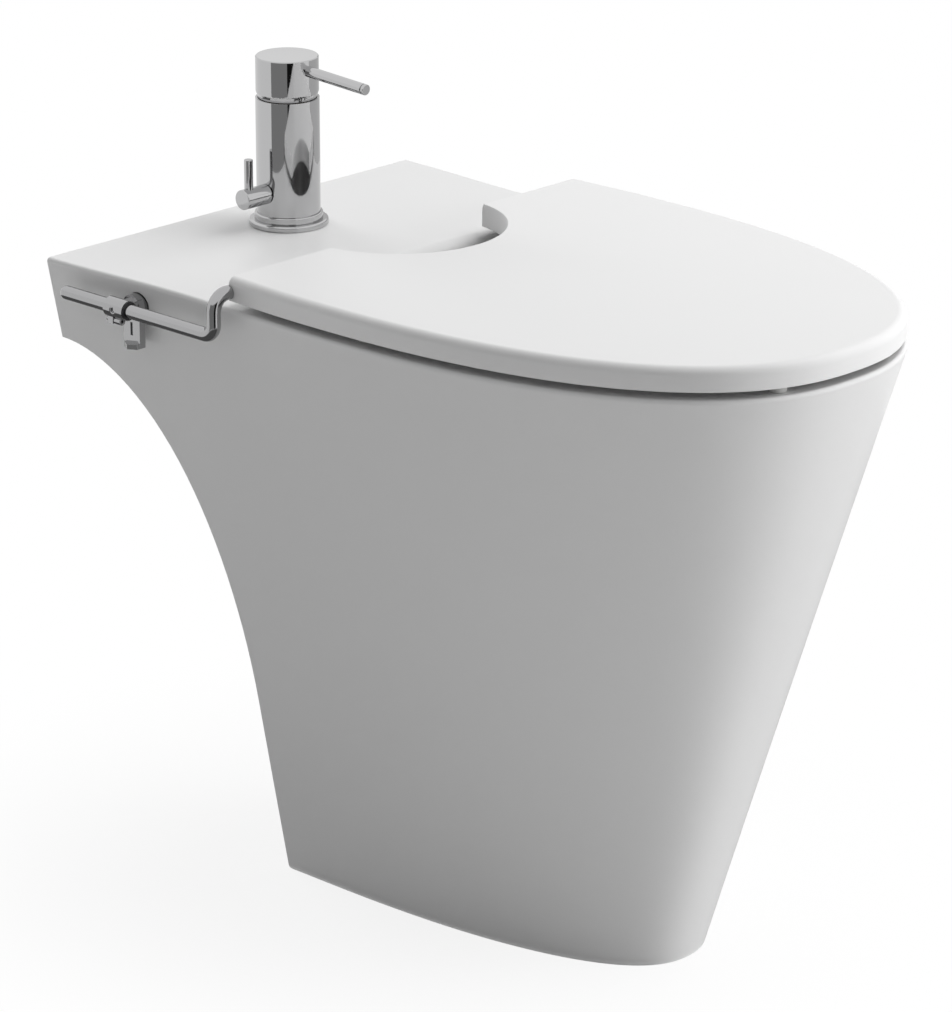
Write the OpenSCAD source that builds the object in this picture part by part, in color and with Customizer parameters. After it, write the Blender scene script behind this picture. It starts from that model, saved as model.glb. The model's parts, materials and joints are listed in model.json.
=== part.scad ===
// Floor-standing bidet with a hinged lid, a spoutless mixer tap and side-mounted lid hinges.
// X runs across, -Y is the front, +Z is up. The origin lies on the floor, midway between the two
// floor fixing holes. A distance "u" is measured forward from the wall.

/* [Pan] */
// Height of the deck and rim above the floor
deck_h = 432; // [420:1:450]
// From the wall to the front of the rim
pan_len = 560; // [545:1:585]
// Width of the deck at the wall
rear_w = 343; // [336:1:352]
// Greatest width of the rim
rim_w = 340; // [334:1:350]
// How far each side of the deck draws in between the wall and the bowl
waist = 5; // [0:0.5:7]
// From the wall to the greatest width
widest_u = 246; // [236:1:260]
// Roundness of the front outline, where 2 is an ellipse
front_pow = 2.36; // [2.1:0.02:2.7]
// Thickness of the ceramic walls
wall = 13; // [11:0.5:15]
// Thickness of the deck
deck_t = 16; // [14:0.5:20]
// Height of the deck block where it meets the wall
block_h = 58; // [56:1:70]
// Rounding of the rim's outer edge
rim_edge = 3; // [2:0.5:4]

/* [Foot] */
// Width of the foot
foot_w = 160; // [150:1:180]
// From the wall to the rear of the foot
foot_rear_u = 131; // [125:1:135]
// From the wall to the front of the foot
foot_front_u = 428; // [410:1:440]
// From the wall to the foot's greatest width
foot_widest_u = 168; // [160:1:180]
// Height over which the rear sweeps out from the foot to the wall
sweep_h = 242; // [220:1:260]
// From the wall to the floor fixing holes
hole_to_wall = 165; // [160:1:175]
// Distance between the two floor fixing holes
floor_hole_gap = 84; // [76:1:92]
// Radius of a floor fixing hole
floor_hole_r = 4.5; // [3.5:0.25:5]
// Height of the floor lugs
lug_h = 14; // [10:1:20]

/* [Bowl] */
// Width of the bowl at the rim
bowl_w = 250; // [240:1:260]
// From the wall to the rear of the bowl
bowl_rear_u = 172; // [170:1:178]
// Width of the rim in front of the bowl
front_rim = 42; // [38:1:48]
// Depth of the bowl
bowl_depth = 150; // [140:1:160]
// Squareness of the front half of the bowl outline, where 2 is an ellipse
bowl_pow = 2.4; // [2.2:0.05:2.5]
// Squareness of the rear half, whose edge shows in the lid's notch
bowl_rear_pow = 4; // [3:0.1:4.4]
// Rounding of the bowl's upper edge
bowl_edge = 12; // [10:1:15]
// Share of the bowl's plan that is left at its floor
floor_share = 0.3; // [0.28:0.01:0.34]

/* [Lid] */
// Thickness of the closed lid, edge to edge
lid_t = 16; // [15:0.5:18]
// Gap between the rim and the lid
lid_gap = 4.9; // [4.5:0.1:6]
// How far the lid stays inside the rim
lid_inset = 1.5; // [1:0.25:2.5]
// From the wall to the rear face of the lid
lid_rear_u = 170.2; // [169.8:0.1:170.6]
// Thickness of the lid's side wall
lid_wall = 3.5; // [3:0.25:4]
// Thickness of the lid's top plate
lid_top = 3.8; // [3:0.2:4.4]
// Rounding of the lid's top edge
lid_edge = 5.5; // [4:0.25:6]
// Radius of the hand notch in the lid's rear edge
notch_r = 72; // [66:1:76]
// From the wall to the centre of the hand notch
notch_u = 162; // [158:1:166]
// Radius of a lid bumper
bumper_r = 6; // [5:0.5:7]

/* [Lid hinge] */
// Radius of a hinge rod
rod_r = 4.75; // [4.25:0.25:5]
// From the side of the deck's rear end out to the rod's axis
rod_out = 8.5; // [6.5:0.5:10.5]
// How far a rod's straight length lies below the deck
rod_drop = 16; // [15.5:0.25:17.5]
// Height of the hinge axis above the deck
hinge_rise = 11.1; // [10.9:0.1:11.6]
// From the wall to the hinge axis
hinge_u = 172.5; // [172:0.25:173]
// From the wall to a rod's rear end
rod_rear_u = 26; // [22:0.5:29]
// Bend radius at a rod's front foot
rod_bend_low = 8.5; // [8:0.5:10]
// Bend radius where a rod turns in to the lid
rod_bend_top = 11; // [10:0.5:11.5]
// Radius of the pin that is turned on a rod's end
hinge_pin_r = 2; // [1.75:0.05:2.25]
// Length of that pin
hinge_pin_len = 18; // [14:1:20]
// Outer radius of the lid's hinge barrels
barrel_r = 4.2; // [4:0.1:4.4]
// Running clearance of a pin or a spindle, each side
run_gap = 0.05; // [0.03:0.01:0.09]
// Outer radius of a bracket's sleeve
sleeve_r = 6.8; // [6.5:0.1:7]
// From the wall to the rear end of a sleeve
sleeve_u = 73; // [71:0.5:75]
// Length of a sleeve
sleeve_len = 18; // [17:0.5:19]
// Width of a bracket's block
block_w = 15.5; // [15:0.25:16]
// Thickness of a bracket's block
block_t = 5; // [4.6:0.2:5.4]
// How far a bracket reaches below the deck
bracket_low = 41; // [40:0.5:42]
// From the wall to the centre of a bracket's block
bracket_u = 84; // [83.5:0.25:85]
// Radius of a bracket's rosette
rosette_r = 7.5; // [7.25:0.25:8.5]

/* [Mixer] */
// From the wall to the mixer axis
mixer_u = 56; // [54:0.5:60]
// Radius of the mixer body
body_r = 21.8; // [21:0.1:22.5]
// Radius of the lever cap
cap_r = 21.5; // [21:0.1:22]
// Height of the cap's top above the deck
cap_top = 117.5; // [112:0.5:124]
// Height of the cap
cap_h = 28.6; // [27:0.2:30]
// Height of the chamfer round the cap's foot
cap_cham_h = 4.5; // [4:0.1:5]
// Depth of the chamfer round the cap's foot
cap_cham_in = 1.5; // [1.3:0.1:1.8]
// Radius of the base flange
flange_r = 27.3; // [26:0.1:29]
// Radius of the step ring
step_r = 23.5; // [23:0.1:24.5]
// Thickness of the base flange
flange_t = 4.2; // [3.6:0.1:5]
// Thickness of the step ring
step_t = 4.6; // [4:0.1:5]
// Radius of the lever rod
lever_r = 3.75; // [3:0.25:4]
// Reach of the lever from the mixer axis
lever_reach = 76; // [66:1:84]
// Length of the lever tip, with the groove behind it
tip_len = 3; // [2.5:0.5:8]
// Downward slope of the lever
lever_slope = 3; // [0:0.5:5]
// Radius of the tap hole in the deck
tap_hole_r = 17.5; // [17:0.25:18]
// From the top of the mixer body down to the cartridge's seat
cartridge_seat = 44.6; // [42:0.2:48]

/* [Diverter] */
// Height of the diverter axis above the deck
div_rise = 24.5; // [23:0.5:28]
// Radius of the diverter knob
div_r = 6.9; // [6:0.1:7.5]
// From the mixer axis to the knob's end
div_reach = 43.5; // [41:0.5:46]
// From the mixer axis to the diverter stick
stick_x = 37.2; // [35:0.2:38]
// Radius of the diverter stick
stick_r = 3; // [2.25:0.25:3.25]
// Height of the stick's end above the diverter axis
stick_reach = 27.3; // [24:0.5:30]

/* [Waste] */
// Radius of the waste flange
waste_r = 31.5; // [30:0.5:33]
// Radius of the waste thread
waste_thread_r = 20.9; // [20.5:0.1:21]
// Length of the waste thread below the bowl floor
waste_len = 70; // [60:1:74]
// Travel of the waste plug
plug_travel = 6; // [4:0.5:8]
// Radius of the outlet pipe
pipe_r = 16; // [15.5:0.1:16.5]
// Wall of the outlet pipe and the trap
pipe_wall = 1.5; // [1:0.25:2]
// Radius of the bottle trap
trap_r = 32; // [30:1:34]
// Height of the bottle trap
trap_h = 125; // [112:1:135]
// From the trap's top down to the axis of the outlet pipe
outlet_drop = 26; // [24:1:30]
// From the wall to the end of the outlet pipe
outlet_u = 75; // [72:1:85]
// Height of the nut under the bowl
waste_nut_h = 9; // [7:1:10]
// Length of the nut on top of the trap
trap_nut_h = 12; // [9:1:14]

/* [Hidden] */

// Smoothness of the true round surfaces
$fn = 48;
// Overshoot of a cutting shape past the surface that it cuts
cut = 1;
// Gap between faces that only rest against each other
seat = 0.2;
// Radial clearance of a thread or a loose fit
loose = 0.3;
// Points along each side and round each half of the front of an outline
side_n = 6;
front_n = 20;
// Points round the bowl, and levels between its rim and its floor
bowl_n = 56;
bowl_levels = 8;
// Steps round an edge rounding, and along the rear sweep
edge_n = 3;
sweep_n = 10;

mixer_y = yw(mixer_u);
bowl_front_u = pan_len - front_rim;
waste_u = (bowl_rear_u + bowl_front_u) / 2;
waste_y = yw(waste_u);
floor_z = deck_h - bowl_depth;
// The pan is cast in parts: a body and a bowl, which meet the deck at this height
join_z = deck_h - 2 * deck_t;
// The bowl's floor, which meets the bowl at this height
bowl_joint_z = floor_z + 14;
// The rim's solid sides and front, which meet each other and the deck at these places
rim_joint_x = bowl_w / 2 - 37;
rim_joint_u = bowl_rear_u + 15;
lid_z = deck_h + lid_gap;
lid_top_z = lid_z + lid_t;
hinge_z = deck_h + hinge_rise;
hinge_y = yw(hinge_u);
rod_z = deck_h - rod_drop;
rod_x = rear_w / 2 + rod_out;
lid_half = rim_w / 2 - lid_inset;
barrel_len = hinge_pin_len + 3;
body_z = deck_h + flange_t + step_t;
cap_z = deck_h + cap_top - cap_h;
body_top = cap_z - loose;
// The cap tilts on a cross pin this far above its own foot
pivot_up = 18;
pivot_z = cap_z + pivot_up;
// Greatest tilt of the lever, and how deep the cap's rear edge dips into the body
tilt_max = 20;
dip = (cap_r - cap_cham_in) * sin(tilt_max) + pivot_up * (cos(tilt_max) - 1) + loose + 1.2;
socket_r = cap_r - cap_cham_in + 0.35;
cap_bore = socket_r - 2.6;
cap_roof = deck_h + cap_top - 3;
cartridge_r = 17.4;
cartridge_top = body_top - dip;
cartridge_z = body_top - cartridge_seat;
spigot_z = deck_h - deck_t + 4;
nut_t = 4;
stem_r = 5;
fork_r = 5;
fork_x = 8;
tongue_x = 3.4;
pin_r = 1.5;
lever_z = deck_h + cap_top - 7.9;
spigot_r = tap_hole_r - 1.3;
port_r = 3.8;
port_ring = 11.2;
port_depth = 12;
way_r = 3;
stud_r = 3;
bridge_w = 8;
clamp_ring_r = tap_hole_r + 9;
clamp_plate_z = deck_h - deck_t - 6;
spindle_r = 4;
div_z = deck_h + div_rise;
block_x = pan_half(bracket_u - block_w / 2, rod_z + block_w / 2) + 0.6;
seat_out_x = pan_half(bracket_u + rosette_r, rod_z - rosette_r) - 0.4;
seat_in_x = seat_out_x - wall + 2;
bolt_r = 3.5;
bush_r = rod_r + 1;
set_r = 2.6;
clamp_r = 1.6;
clamp_z = rod_z - sleeve_r - 2;
height_r = 1.6;
height_x = -block_x - block_t / 2;
height_hex_r = 7.4;
slot_low = bracket_low - 5;
slot_h = 9;
lug_u = sleeve_u + 5.5;
lug_t = 5;
lid_side_x = lid_half_at(hinge_u);
inlet_z = deck_h - 38;
inlet_r = 7;
inlet_disc_r = 12;
inlet_front_u = waste_u - bowl_reach(inlet_z + inlet_disc_r + 1, 0);
inlet_rear_u = waste_u - bowl_reach(inlet_z - inlet_disc_r, wall);
waste_seal_t = 5;
tail_z = floor_z - waste_len;
tail_step = 3;
trap_top = tail_z - tail_step - trap_nut_h - 6;
trap_z = trap_top - trap_h;
cup_top = trap_z + trap_h / 3;
outlet_z = trap_top - outlet_drop;
outlet_neck_r = pipe_r - 0.25;
outlet_neck_u = waste_u - trap_r - 23;
plug_r = 17.2;
plug_stem_r = 3;
plug_guide_h = 10;
plug_guide_z = floor_z - waste_len / 2 + 1;
plug_clip_z = plug_guide_z - 3;

// The y of a point u in front of the wall
function yw(u) = hole_to_wall - u;
// A value that runs straight from a to b as t goes from 0 to 1
function mix(a, b, t) = a + (b - a) * t;
// Half width of an outline that goes from w0 at the wall to w1 at u1 and draws in by d between
function half_width(u, w0, w1, u1, d) = mix(w0, w1, u / u1) - d * pow(sin(180 * u / u1), 2);
// Half width of the pan at a distance u from the wall and a height z, behind its widest place
function pan_half(u, z) = let (t = z / deck_h)
    half_width(u, mix(foot_w, rear_w, t) / 2, mix(foot_w, rim_w, t) / 2,
               mix(foot_widest_u, widest_u, t), waist * t);
function lid_half_at(u) = pan_half(u, deck_h) - lid_inset;
// Signed power, for the squared ellipse
function spow(v, p) = sign(v) * pow(abs(v), p);
// Right half of an outline, from its rear at u0 to its tip, drawn in by d all round
function right_half(w0, w1, u0, u1, tip, draw, d) = concat(
    [for (i = [0:side_n - 1]) let (u = mix(u0, u1, i / side_n))
        [half_width(u, w0, w1, u1, draw) - d, i == 0 ? u0 + d : u]],
    [for (i = [0:front_n]) let (a = 90 * i / front_n)
        [(w1 - d) * spow(cos(a), 2 / front_pow), u1 + (tip - d - u1) * spow(sin(a), 2 / front_pow)]]);
// A closed ring at height z from a right half and its mirror image
function whole_ring(half, z) = concat(
    [for (p = half) [p[0], yw(p[1]), z]],
    [for (i = [len(half) - 2:-1:0]) [-half[i][0], yw(half[i][1]), z]]);
// The pan's outline at height z, drawn in by d, with its rear face at u0
function pan_ring(z, d, u0) = let (t = z / deck_h) whole_ring(
    right_half(mix(foot_w, rear_w, t) / 2, mix(foot_w, rim_w, t) / 2, u0,
               mix(foot_widest_u, widest_u, t), mix(foot_front_u, pan_len, t), waist * t, d), z);
// The lid's outline at height z, drawn in by d, but only by a quarter of that at its rear face
function lid_ring(z, d) = whole_ring(
    right_half(rear_w / 2 - lid_inset, lid_half, lid_rear_u - 0.75 * d, widest_u,
               pan_len - lid_inset, waist, d), z);
// Height and inset of each step round an edge of radius r that ends at height top
function edge_steps(r, top) = [for (i = [0:edge_n]) let (a = 90 * i / edge_n)
    [top - r * (1 - sin(a)), r * (1 - cos(a))]];
// Share of the bowl's plan that is left at a depth, and its reach from the waste at height z
function bowl_share(fall) = floor_share + (1 - floor_share) * pow(max(0, 1 - fall * fall), 0.36);
function bowl_reach(z, grow) = (bowl_front_u - bowl_rear_u) / 2
    * bowl_share((deck_h - z) / (bowl_depth + grow)) + grow;
// One ring of the bowl, grown by g, and its rings from the floor up to a rounded upper edge
function bowl_ring(z, share, g) = [for (i = [0:bowl_n - 1])
    let (a = 360 * i / bowl_n, p = 2 / (sin(a) < 0 ? bowl_rear_pow : bowl_pow))
    [(bowl_w / 2 * share + g) * spow(cos(a), p),
     waste_y - ((bowl_front_u - bowl_rear_u) / 2 * share + g) * spow(sin(a), p), z]];
function bowl_rings(g, edge) = concat(
    [for (i = [0:bowl_levels - 1]) let (f = cos(90 * i / bowl_levels))
        bowl_ring(deck_h - (bowl_depth + g) * f, bowl_share(f), g)],
    edge > 0 ? [for (s = edge_steps(edge, deck_h)) bowl_ring(s[0], 1, g + s[1])]
             : [bowl_ring(deck_h, 1, g)],
    [bowl_ring(deck_h + cut, 1, g + edge)]);

// The middle of a ring
function middle(ring) = [for (p = ring) 1] * ring / len(ring);

// A closed solid through a stack of rings with equal point counts, lowest ring first
module loft(rings) {
    n = len(rings[0]);
    m = len(rings);
    low = n * m;
    high = low + 1;
    points = concat([for (r = rings) for (p = r) p], [middle(rings[0]), middle(rings[m - 1])]);
    sides = [for (k = [0:m - 2]) for (i = [0:n - 1]) for (upper = [0, 1])
        let (a = k * n + i, b = k * n + (i + 1) % n)
        upper == 0 ? [a, b, b + n] : [a, b + n, a + n]];
    floor_fan = [for (i = [0:n - 1]) [low, (i + 1) % n, i]];
    roof_fan = [for (i = [0:n - 1]) [high, (m - 1) * n + i, (m - 1) * n + (i + 1) % n]];
    polyhedron(points, concat(floor_fan, sides, roof_fan), convexity = 10);
}

// A round bar along X from x0 to x1
module x_bar(r, x0, x1, y, z) {
    translate([min(x0, x1), y, z])
        rotate([0, 90, 0])
            cylinder(r = r, h = abs(x1 - x0));
}

// A round bar along Y from distance u0 to distance u1 in front of the wall
module u_bar(r, u0, u1, x, z) {
    translate([x, yw(u0), z])
        rotate([90, 0, 0])
            cylinder(r = r, h = u1 - u0);
}

// A round bar along Z from z0 to z1
module z_bar(r, z0, z1, x, y) {
    translate([x, y, z0])
        cylinder(r = r, h = z1 - z0);
}

// A flat ring round Z, from z0 to z1
module z_ring(r_out, r_in, z0, z1, x, y) {
    difference() {
        z_bar(r_out, z0, z1, x, y);
        z_bar(r_in, z0 - cut, z1 + cut, x, y);
    }
}

// A hexagon nut blank round Z, r across its corners
module z_hex(r, z0, z1, x, y) {
    translate([x, y, z0])
        cylinder(r = r, h = z1 - z0, $fn = 6);
}

// Puts a left-hand piece on the left and its mirror image on the right
module both_sides() {
    children();
    mirror([1, 0, 0])
        children();
}

// Pan

// Height and rear of each level of the pan, where the rear sweeps out from the foot to the wall
function rear_levels() = concat([[0, foot_rear_u]], [for (i = [0:sweep_n]) let (a = 90 * i / sweep_n)
    [deck_h - block_h - sweep_h + sweep_h * sin(a), foot_rear_u * cos(a)]]);

module pan_outside() {
    loft(concat([for (s = rear_levels()) pan_ring(s[0], 0, s[1])],
                [for (s = edge_steps(rim_edge, deck_h)) pan_ring(s[0], s[1], 0)]));
}

module pan_hollow() {
    difference() {
        loft([pan_ring(-cut, wall, 0), pan_ring(deck_h - deck_t, wall, 0)]);
        both_sides()
            translate([-foot_w / 2, yw(hole_to_wall + floor_hole_r * 4), -2 * cut])
                cube([foot_w / 2 - floor_hole_gap / 2 + 2.4 * floor_hole_r, floor_hole_r * 8,
                      lug_h + 2 * cut]);
    }
}

// The bowl's outer and inner surface
module bowl_outside() {
    loft(bowl_rings(wall, 0));
}

module bowl_inside() {
    loft(bowl_rings(0, bowl_edge));
}

// A slab as wide as the pan, which starts at height z
module pan_slab(z) {
    translate([-rear_w, yw(pan_len + wall), z])
        cube([2 * rear_w, pan_len + 2 * wall, deck_h]);
}

module pan_holes() {
    z_bar(tap_hole_r, deck_h - deck_t - cut, deck_h + cut, 0, mixer_y);
    z_bar(waste_thread_r + 1.5, floor_z - wall - cut, floor_z + cut, 0, waste_y);
    u_bar(inlet_r + 1, inlet_rear_u - wall, inlet_front_u + wall, 0, inlet_z);
    u_bar(inlet_disc_r + 1, inlet_front_u, inlet_front_u + wall, 0, inlet_z);
    u_bar(inlet_disc_r + 1, inlet_rear_u - wall, inlet_rear_u, 0, inlet_z);
    both_sides() {
        z_bar(floor_hole_r, -cut, lug_h + cut, -floor_hole_gap / 2, 0);
        x_bar(bolt_r + 1, -rear_w / 2 - wall, -rear_w / 2 + 3 * wall, yw(bracket_u), rod_z);
        // Flat seats that are ground for the rosette and the inside gasket
        x_bar(rosette_r + 0.7, -rear_w, -seat_out_x, yw(bracket_u), rod_z);
        x_bar(rosette_r + 1.5, -seat_in_x, -seat_in_x + wall + 4, yw(bracket_u), rod_z);
    }
}

module pan() {
    color("white")
        difference() {
            pan_outside();
            pan_hollow();
            bowl_outside();
            pan_holes();
            pan_slab(join_z);
        }
}

module pan_bowl() {
    color("white")
        difference() {
            bowl_outside();
            bowl_inside();
            pan_holes();
            pan_slab(join_z);
            pan_slab(bowl_joint_z - deck_h);
        }
}

module pan_bowl_floor() {
    color("white")
        difference() {
            bowl_outside();
            bowl_inside();
            pan_holes();
            pan_slab(bowl_joint_z);
        }
}

// The pan above the joint, between x0 and x1 and from u0 to u1 in front of the wall
module pan_top(x0, x1, u0, u1) {
    difference() {
        intersection() {
            pan_outside();
            translate([x0, yw(u1), join_z])
                cube([x1 - x0, u1 - u0, deck_h]);
        }
        bowl_inside();
        pan_holes();
    }
}

module pan_deck() {
    color("white")
        difference() {
            pan_top(-rear_w, rear_w, -wall, rim_joint_u);
            difference() {
                pan_hollow();
                bowl_outside();
            }
        }
}

module pan_rim_left() {
    color("white")
        pan_top(-rear_w, -rim_joint_x, rim_joint_u, pan_len + wall);
}

module pan_rim_right() {
    color("white")
        pan_top(rim_joint_x, rear_w, rim_joint_u, pan_len + wall);
}

module pan_rim_front() {
    color("white")
        pan_top(-rim_joint_x, rim_joint_x, waste_u, pan_len + wall);
}

// Lid, which turns on the two hinge rods

module lid_outside() {
    loft(concat([lid_ring(lid_z, 0)], [for (s = edge_steps(lid_edge, lid_top_z)) lid_ring(s[0], s[1])]));
}

module lid_hollow() {
    difference() {
        loft([lid_ring(lid_z - cut, lid_wall), lid_ring(lid_top_z - lid_top, lid_wall)]);
        z_bar(notch_r + lid_wall, lid_z - 2 * cut, lid_top_z, 0, yw(notch_u));
        both_sides() {
            translate([-lid_side_x - cut, yw(lid_rear_u + 12), lid_z - 2 * cut])
                cube([barrel_len + cut, 12 + cut, lid_t + 2 * cut]);
            for (p = bumper_places())
                z_bar(bumper_r - 1, deck_h + lid_gap + 1, lid_top_z, p[0], p[1]);
        }
    }
}

// Left-hand bumper places: beside the bowl's rear corner and in front of the bowl
function bumper_places() = [[-(lid_half + bowl_w / 2 + bowl_edge) / 2, yw(waste_u - 60)],
                            [-bowl_w / 5, yw(bowl_front_u + front_rim / 2)]];

module lid() {
    color("white")
        difference() {
            union() {
                difference() {
                    lid_outside();
                    lid_hollow();
                    z_bar(notch_r, lid_z - cut, lid_top_z + cut, 0, yw(notch_u));
                }
                both_sides()
                    x_bar(barrel_r, -lid_side_x, -lid_side_x + barrel_len, hinge_y, hinge_z);
            }
            both_sides() {
                x_bar(hinge_pin_r + run_gap, -rod_x, -lid_side_x + hinge_pin_len + 1, hinge_y, hinge_z);
                for (p = bumper_places())
                    z_bar(bumper_r - 3, lid_z, lid_top_z - lid_top - 2, p[0], p[1]);
            }
        }
}

module lid_bumpers() {
    color("gainsboro")
        both_sides()
            for (p = bumper_places()) {
                z_bar(bumper_r, deck_h + seat, lid_z + 1, p[0], p[1]);
                z_bar(bumper_r - 3, lid_z, lid_top_z - lid_top - 3, p[0], p[1]);
            }
}

// Hinge rods and the brackets that hold them

module left_rod() {
    x = -rod_x;
    translate([x, yw(rod_rear_u + rod_r), rod_z])
        sphere(r = rod_r);
    u_bar(rod_r, rod_rear_u + rod_r, hinge_u - rod_bend_low, x, rod_z);
    // Bend from the straight length up into the leg
    translate([x, hinge_y + rod_bend_low, rod_z + rod_bend_low])
        rotate([0, 90, 0])
            rotate([0, 0, -90])
                rotate_extrude(angle = 90)
                    translate([rod_bend_low, 0])
                        circle(r = rod_r);
    z_bar(rod_r, rod_z + rod_bend_low, hinge_z - rod_bend_top, x, hinge_y);
    // Bend from the leg in to the hinge axis
    translate([x + rod_bend_top, hinge_y, hinge_z - rod_bend_top])
        rotate([90, 0, 0])
            rotate([0, 0, 90])
                rotate_extrude(angle = 90)
                    translate([rod_bend_top, 0])
                        circle(r = rod_r);
    x_bar(rod_r, x + rod_bend_top, -lid_side_x - 0.5, hinge_y, hinge_z);
    x_bar(hinge_pin_r, x + rod_bend_top, -lid_side_x + hinge_pin_len, hinge_y, hinge_z);
}

module hinge_rod_left() {
    color("silver")
        left_rod();
}

module hinge_rod_right() {
    color("silver")
        mirror([1, 0, 0])
            left_rod();
}

// The axis of a left-hand set screw, out from the rod
module along_set_screw() {
    translate([-rod_x, yw(sleeve_u + 9), rod_z])
        rotate([0, -90, 0])
            children();
}

// A bracket: sleeve for the rod, lug for the clamp screw and a block with the height slot
module left_bracket() {
    difference() {
        union() {
            u_bar(sleeve_r, sleeve_u, sleeve_u + sleeve_len, -rod_x, rod_z);
            translate([-rod_x - 3, yw(lug_u), rod_z - sleeve_r - 4])
                cube([6, lug_t, 6]);
            translate([-block_x - block_t, yw(bracket_u + block_w / 2), deck_h - bracket_low])
                cube([block_t, block_w, bracket_low - rod_drop]);
            x_bar(block_w / 2, -block_x - block_t, -block_x, yw(bracket_u), rod_z);
            // Neck that joins the sleeve to the block
            translate([-rod_x + 2, yw(sleeve_u + sleeve_len), rod_z - 5])
                cube([rod_x - 2 - block_x - 1, sleeve_len - 8, 10]);
        }
        u_bar(bush_r, sleeve_u - cut, sleeve_u + sleeve_len + 2, -rod_x, rod_z);
        along_set_screw()
            cylinder(r = set_r, h = 2 * sleeve_r);
        u_bar(clamp_r, lug_u - lug_t - 4, lug_u + cut, -rod_x, clamp_z);
        x_bar(bolt_r, -block_x - block_t + 1, -block_x + cut, yw(bracket_u), rod_z);
        // Slot that shows the height screw, and the hole that it turns in
        translate([-block_x - block_t - cut, yw(bracket_u) - 1.2, deck_h - slot_low])
            cube([block_t / 2 + cut, 2.4, slot_h]);
        z_bar(height_r, deck_h - bracket_low - cut, deck_h - slot_low + slot_h + cut,
              height_x, yw(bracket_u));
    }
}

module hinge_bracket_left() {
    color("silver")
        left_bracket();
}

module hinge_bracket_right() {
    color("silver")
        mirror([1, 0, 0])
            left_bracket();
}

// Nylon bush between a bracket's sleeve and its rod
module sleeve_bushes() {
    color("dimgray")
        both_sides()
            difference() {
                union() {
                    u_bar(bush_r, sleeve_u + 0.5, sleeve_u + sleeve_len, -rod_x, rod_z);
                    u_bar(sleeve_r - 0.6, sleeve_u + sleeve_len, sleeve_u + sleeve_len + 0.8, -rod_x, rod_z);
                }
                u_bar(rod_r, sleeve_u - cut, sleeve_u + sleeve_len + 3, -rod_x, rod_z);
                along_set_screw()
                    cylinder(r = set_r, h = 2 * sleeve_r);
            }
}

// Sunk set screws with a hexagon socket
module sleeve_set_screws() {
    color("silver")
        both_sides()
            along_set_screw()
                difference() {
                    translate([0, 0, rod_r])
                        cylinder(r = set_r, h = sleeve_r - rod_r - 0.4);
                    translate([0, 0, rod_r + 0.5])
                        cylinder(r = 2.1, h = sleeve_r, $fn = 6);
                    // The screw's foot is hollowed to fit the rod
                    rotate([90, 0, 0])
                        cylinder(r = rod_r, h = 4 * set_r, center = true);
                }
}

module sleeve_clamp_screws() {
    color("silver")
        both_sides() {
            u_bar(clamp_r, lug_u - lug_t - 3, lug_u, -rod_x, clamp_z);
            difference() {
                u_bar(2.6, lug_u, lug_u + 6, -rod_x, clamp_z);
                translate([-rod_x, yw(lug_u + 3), clamp_z])
                    rotate([90, 0, 0])
                        cylinder(r = 1.3, h = 4, $fn = 6);
            }
        }
}

module height_screws() {
    color("silver")
        both_sides() {
            z_bar(height_r, deck_h - bracket_low - 0.5, deck_h - slot_low + slot_h,
                  height_x, yw(bracket_u));
            z_hex(height_hex_r, deck_h - bracket_low - 3.6, deck_h - bracket_low, height_x, yw(bracket_u));
        }
}

// Round rosette between a bracket and the ground seat on the pan
module bracket_rosettes() {
    color("silver")
        both_sides()
            difference() {
                x_bar(rosette_r, -block_x, -seat_out_x, yw(bracket_u), rod_z);
                x_bar(bolt_r + loose, -block_x - cut, -seat_out_x + cut, yw(bracket_u), rod_z);
            }
}

// Screwed from inside the pan into the bracket's block
module bracket_bolts() {
    color("silver")
        both_sides() {
            x_bar(bolt_r, -block_x - block_t + 1, -seat_in_x + 4, yw(bracket_u), rod_z);
            translate([-seat_in_x + 3.5, yw(bracket_u), rod_z])
                rotate([0, 90, 0])
                    cylinder(r = 7, h = 5.3, $fn = 6);
        }
}

module bracket_gaskets() {
    color("black")
        both_sides()
            difference() {
                x_bar(rosette_r, -seat_in_x, -seat_in_x + 2, yw(bracket_u), rod_z);
                x_bar(bolt_r + loose, -seat_in_x - cut, -seat_in_x + 3, yw(bracket_u), rod_z);
            }
}

module bracket_washers() {
    color("silver")
        both_sides()
            difference() {
                x_bar(rosette_r, -seat_in_x + 2, -seat_in_x + 3.5, yw(bracket_u), rod_z);
                x_bar(bolt_r + loose, -seat_in_x + 1, -seat_in_x + 5, yw(bracket_u), rod_z);
            }
}

// Mixer

// A disc of radius r with a rounded upper edge
module round_disc(r, t, edge) {
    rotate_extrude()
        polygon(concat([[0, 0], [r, 0]],
                       [for (i = [0:4]) [r - edge * (1 - cos(22.5 * i)), t - edge * (1 - sin(22.5 * i))]],
                       [[0, t]]));
}

module mixer_seal() {
    color("black")
        z_ring(flange_r - 2.5, spigot_r + 1.5, deck_h, deck_h + 1.5, 0, mixer_y);
}

module mixer_flange() {
    color("silver")
        difference() {
            translate([0, mixer_y, deck_h + seat])
                round_disc(flange_r, flange_t - seat, 1.6);
            z_bar(spigot_r + loose, deck_h, deck_h + flange_t + cut, 0, mixer_y);
            z_ring(flange_r - 2.5, spigot_r + 1.5, deck_h, deck_h + 1.5, 0, mixer_y);
        }
}

module mixer_step_ring() {
    color("silver")
        difference() {
            translate([0, mixer_y, deck_h + flange_t])
                round_disc(step_r, step_t, 1);
            z_bar(spigot_r + loose, deck_h, body_z + cut, 0, mixer_y);
        }
}

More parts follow.
